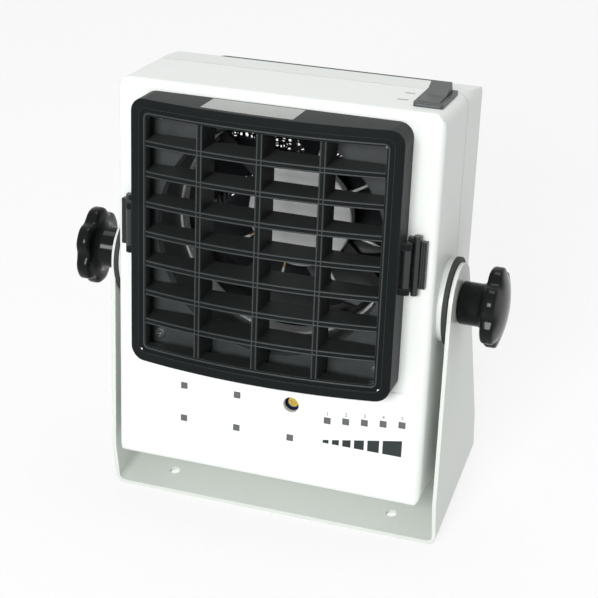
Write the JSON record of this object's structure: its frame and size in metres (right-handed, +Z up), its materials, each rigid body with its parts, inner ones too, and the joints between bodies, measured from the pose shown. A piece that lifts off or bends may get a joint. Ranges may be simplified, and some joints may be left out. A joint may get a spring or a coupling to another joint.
{
  "type": "ionizing blower",
  "caption": "Benchtop ionizing blower: fan housing with slatted louver, control panel and rear filter, tilting in a bent sheet-metal stand on two clamp knobs.",
  "frame": {"origin": "centre of the stand's base underside, below the tilt axis", "axes": "+Z up, air leaves towards -Y, +X to the right of the outlet seen from the front"},
  "size_m": [0.2212, 0.1309, 0.2223],
  "materials": {
    "stand_paint": "satin powder coat",
    "washer_rubber": "matt",
    "boss_plastic": "satin",
    "brass": "satin",
    "knob_black": "gloss",
    "steel": "zinc plated",
    "shell_white": "fine satin",
    "dark_steel": "blackened",
    "duct_grey": "satin",
    "stainless": "polished",
    "emitter_white": "satin",
    "fan_black": "satin",
    "impeller_black": "satin",
    "magnet": "dull",
    "lamination": "stacked sheet",
    "copper": "lacquered wire",
    "board_green": "solder mask",
    "filter_black": "satin",
    "foam": "open foam",
    "louver_black": "fine grain",
    "latch_black": "satin",
    "switch_black": "satin",
    "rocker_black": "satin",
    "overlay_white": "satin film",
    "light_window": "smoked",
    "trimmer_blue": "gloss",
    "trimmer_yellow": "satin",
    "module_black": "potted",
    "jack_black": "satin"
  },
  "bodies": {
    "stand": {"stand_bracket": "stand_paint"},
    "head": {"friction_washers": "washer_rubber", "pivot_bosses": "boss_plastic", "clamp_inserts": "brass", "front_shell": "shell_white", "rear_shell": "shell_white", "shell_screws": "dark_steel", "duct": "duct_grey", "duct_screws": "steel", "counter_ring": "stainless", "emitter_hub": "emitter_white", "needle_sockets": "brass", "emitter_needles": "stainless", "fan_frame": "fan_black", "fan_bearings": "steel", "fan_stator": "lamination", "fan_coils": "copper", "fan_board": "board_green", "fan_screws": "dark_steel", "filter_base": "filter_black", "latch_keepers": "latch_black", "switch_body": "switch_black", "switch_terminals": "brass", "control_overlay": "overlay_white", "status_lights": "light_window", "control_board": "board_green", "board_screws": "steel", "trimmer_body": "trimmer_blue", "high_voltage_module": "module_black", "module_screws": "steel", "power_jack": "jack_black", "jack_contact": "brass", "jack_nut": "steel", "ground_terminal": "brass", "ground_nut": "steel"},
    "knob_left": {"knob_left": "knob_black", "stud_left": "steel"},
    "knob_right": {"knob_right": "knob_black", "stud_right": "steel"},
    "louver": {"louver": "louver_black"},
    "latch_left": {"latch_left": "latch_black"},
    "latch_right": {"latch_right": "latch_black"},
    "rocker": {"switch_rocker": "rocker_black"},
    "trimmer": {"trimmer_rotor": "trimmer_yellow"},
    "fan_rotor": {"fan_impeller": "impeller_black", "rotor_magnet": "magnet", "fan_shaft": "steel"},
    "filter": {"filter_cover": "filter_black", "filter_media": "foam"}
  },
  "joints": [
    {"name": "housing_tilt", "type": "hinge", "parent": "stand", "child": "head", "pos_m": [0, 0, 0.121], "axis": [1, 0, 0], "range_deg": [-78, 102]},
    {"name": "knob_right_turn", "type": "hinge", "parent": "head", "child": "knob_right", "pos_m": [0.09, 0, 0.121], "axis": [1, 0, 0], "range_deg": [0, 720]},
    {"name": "knob_left_turn", "type": "hinge", "parent": "head", "child": "knob_left", "pos_m": [-0.09, 0, 0.121], "axis": [-1, 0, 0], "range_deg": [0, 720]},
    {"name": "louver_pull", "type": "slide", "parent": "head", "child": "louver", "axis": [0, -0.9781, 0.2079], "range_m": [0, 0.06]},
    {"name": "latch_right_squeeze", "type": "hinge", "parent": "louver", "child": "latch_right", "pos_m": [0.0686, -0.03058, 0.1551], "axis": [0, 0.2079, 0.9781], "range_deg": [0, 7], "stiffness_Nm_per_rad": 0.3},
    {"name": "latch_left_squeeze", "type": "hinge", "parent": "louver", "child": "latch_left", "pos_m": [-0.0686, -0.03058, 0.1551], "axis": [0, -0.2079, -0.9781], "range_deg": [0, 7], "stiffness_Nm_per_rad": 0.3},
    {"name": "rocker_switch", "type": "hinge", "parent": "head", "child": "rocker", "pos_m": [0.0685, 0.01915, 0.21712], "axis": [1, 0, 0], "range_deg": [-24, 0]},
    {"name": "trimmer_turn", "type": "hinge", "parent": "head", "child": "trimmer", "pos_m": [0.0129, -0.03424, 0.07052], "axis": [0, -0.9781, 0.2079], "range_deg": [-135, 135]},
    {"name": "fan_spin", "type": "hinge", "parent": "head", "child": "fan_rotor", "pos_m": [0, 0.03496, 0.14117], "axis": [0, 0.9781, -0.2079], "continuous": true},
    {"name": "filter_pull", "type": "slide", "parent": "head", "child": "filter", "axis": [0, 0.9781, -0.2079], "range_m": [0, 0.04]}
  ]
}
